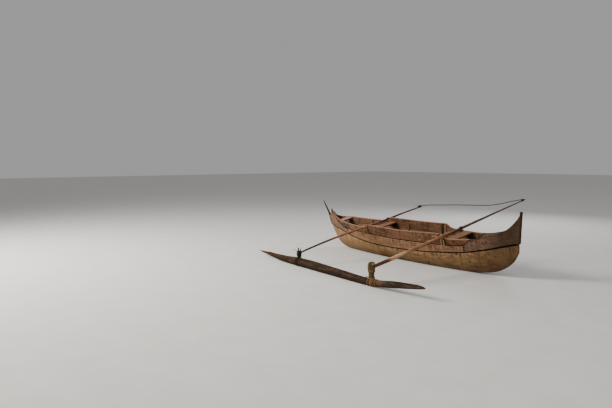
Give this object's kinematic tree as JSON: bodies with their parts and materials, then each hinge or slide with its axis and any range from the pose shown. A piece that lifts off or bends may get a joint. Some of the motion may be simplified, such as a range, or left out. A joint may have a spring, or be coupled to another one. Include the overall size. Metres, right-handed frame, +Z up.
{
  "type": "outrigger canoe",
  "caption": "Small wooden fishing canoe: a dugout log raised with planks, with two booms lashed across it to a float log on pegs at one side.",
  "frame": {"origin": "on the flat worn into the keel's underside, at the middle of the hull's length, on the ground", "axes": "+X to the bow, +Y to the float (port) and +Z up"},
  "size_m": [4.2435, 4.0753, 0.988],
  "materials": {
    "dugout_log": "weathered, pale tan",
    "planks": "weathered",
    "bow_boards": "weathered, pinkish tan",
    "stern_boards": "weathered, greyish brown",
    "end_posts": "dark, weathered",
    "thwarts_and_cleats": "bare",
    "side_rib": "dark",
    "float_log": "rough, bark-like",
    "booms": "barked pole, worn smooth",
    "tie_pole": "dark thin stick",
    "peg_rope": "old rope",
    "rope": "old rope",
    "pegs": "rough"
  },
  "bodies": {
    "root": {"aft_boom": "booms", "aft_float_lashing": "peg_rope", "aft_lashing_port": "rope", "aft_lashing_starboard": "rope", "aft_peg_binding": "peg_rope", "aft_peg_front": "pegs", "aft_peg_rear": "pegs", "aft_strake_port": "planks", "aft_strake_starboard": "planks", "aft_thwart": "thwarts_and_cleats", "aft_tie_lashing": "rope", "bow_board_port": "bow_boards", "bow_board_starboard": "bow_boards", "bow_thwart": "thwarts_and_cleats", "dugout_hull": "dugout_log", "float_log": "float_log", "fore_boom": "booms", "fore_float_lashing": "peg_rope", "fore_lashing_port": "rope", "fore_lashing_starboard": "rope", "fore_peg_binding": "peg_rope", "fore_peg_front": "pegs", "fore_peg_rear": "pegs", "fore_tie_lashing": "rope", "lower_strake_port": "planks", "lower_strake_starboard": "planks", "mid_thwart": "thwarts_and_cleats", "side_batten": "thwarts_and_cleats", "side_cleat_port_1": "thwarts_and_cleats", "side_cleat_port_2": "thwarts_and_cleats", "side_cleat_port_3": "thwarts_and_cleats", "side_cleat_starboard_1": "thwarts_and_cleats", "side_cleat_starboard_2": "thwarts_and_cleats", "side_rib": "side_rib", "stem_post": "end_posts", "stern_board_port": "stern_boards", "stern_board_starboard": "stern_boards", "stern_post": "end_posts", "tie_pole": "tie_pole", "upper_strake_port": "planks", "upper_strake_starboard": "planks"}
  },
  "joints": []
}
